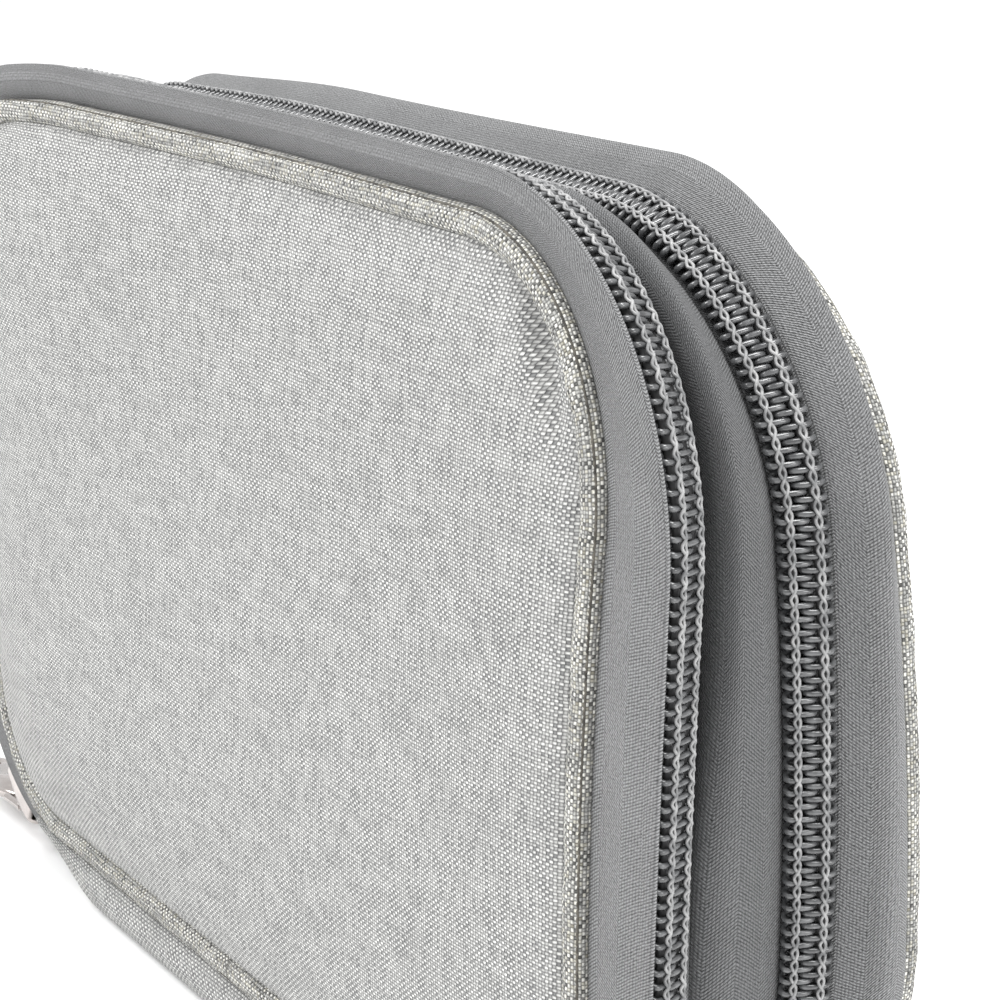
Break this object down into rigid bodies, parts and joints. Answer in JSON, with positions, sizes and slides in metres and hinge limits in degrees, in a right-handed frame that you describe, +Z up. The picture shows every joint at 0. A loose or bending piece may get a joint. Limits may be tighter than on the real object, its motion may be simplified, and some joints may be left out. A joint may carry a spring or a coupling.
{
  "type": "cable organizer pouch",
  "caption": "Padded two-compartment zip pouch for cables that stands on its spine; each padded lid hinges down, with a coil zip, slider and pull on each side.",
  "frame": {"origin": "centre of the base, on the surface the pouch stands on", "axes": "+X along the long side, +Y from the front lid to the back lid, +Z up"},
  "size_m": [0.1956, 0.0449, 0.1218],
  "materials": {
    "melange_fabric": "padded grey melange plain weave",
    "welt_fabric": "folded strip of the same melange weave",
    "zip_tape": "grey herringbone zip tape",
    "zip_coil": "glossy nylon coil",
    "slider_metal": "nickel plated die casting",
    "lining": "smooth dark lining",
    "mesh": "black knitted mesh",
    "elastic": "ribbed black elastic webbing",
    "foam": "closed cell foam",
    "board": "stiff board"
  },
  "bodies": {
    "root": {"divider_board": "board", "divider_front_lining": "lining", "divider_back_lining": "lining", "divider_binding": "zip_tape", "spine_panel": "melange_fabric", "spine_board": "board", "corner_gussets": "lining", "front_inner_tape": "zip_tape", "front_inner_coil": "zip_coil", "front_tail_tape": "zip_tape", "front_tail_coil": "zip_coil", "front_zip_stops": "zip_tape", "back_inner_tape": "zip_tape", "back_inner_coil": "zip_coil", "back_tail_tape": "zip_tape", "back_tail_coil": "zip_coil", "back_zip_stops": "zip_tape", "front_elastic_loops": "elastic", "back_elastic_loops": "elastic", "back_divider_pocket": "mesh", "back_divider_pocket_binding": "elastic"},
    "front_lid": {"front_panel_fabric": "melange_fabric", "front_panel_foam": "foam", "front_panel_lining": "lining", "front_welt": "welt_fabric", "front_outer_tape": "zip_tape", "front_outer_coil": "zip_coil", "front_lid_pocket": "lining", "front_lid_pocket_binding": "elastic"},
    "back_lid": {"back_panel_fabric": "melange_fabric", "back_panel_foam": "foam", "back_panel_lining": "lining", "back_welt": "welt_fabric", "back_outer_tape": "zip_tape", "back_outer_coil": "zip_coil", "back_lid_mesh_pocket": "mesh", "back_lid_pocket_binding": "elastic"},
    "front_slider": {"front_slider": "slider_metal"},
    "front_pull": {"front_pull": "slider_metal"},
    "back_slider": {"back_slider": "slider_metal"},
    "back_pull": {"back_pull": "slider_metal"}
  },
  "joints": [
    {"name": "front_lid_hinge", "type": "hinge", "parent": "root", "child": "front_lid", "pos_m": [0, -0.0202, 0.0076], "axis": [1, 0, 0], "range_deg": [0, 92]},
    {"name": "back_lid_hinge", "type": "hinge", "parent": "root", "child": "back_lid", "pos_m": [0, 0.0202, 0.0076], "axis": [-1, 0, 0], "range_deg": [0, 94]},
    {"name": "front_slider_travel", "type": "hinge", "parent": "root", "child": "front_slider", "pos_m": [-0.05885, -0.01474, 0.03943], "axis": [0, 0.9994, -0.0333], "range_deg": [0, 38]},
    {"name": "front_pull_swing", "type": "hinge", "parent": "front_slider", "child": "front_pull", "pos_m": [-0.07702, -0.01588, 0.00528], "axis": [0, 0.9994, -0.0333], "range_deg": [-145, 25]},
    {"name": "back_slider_travel", "type": "hinge", "parent": "root", "child": "back_slider", "pos_m": [-0.05885, 0.00384, 0.03943], "axis": [0, 0.9993, 0.0365], "range_deg": [0, 38]},
    {"name": "back_pull_swing", "type": "hinge", "parent": "back_slider", "child": "back_pull", "pos_m": [-0.07702, 0.00509, 0.00528], "axis": [0, 0.9993, 0.0365], "range_deg": [-145, 25]}
  ]
}
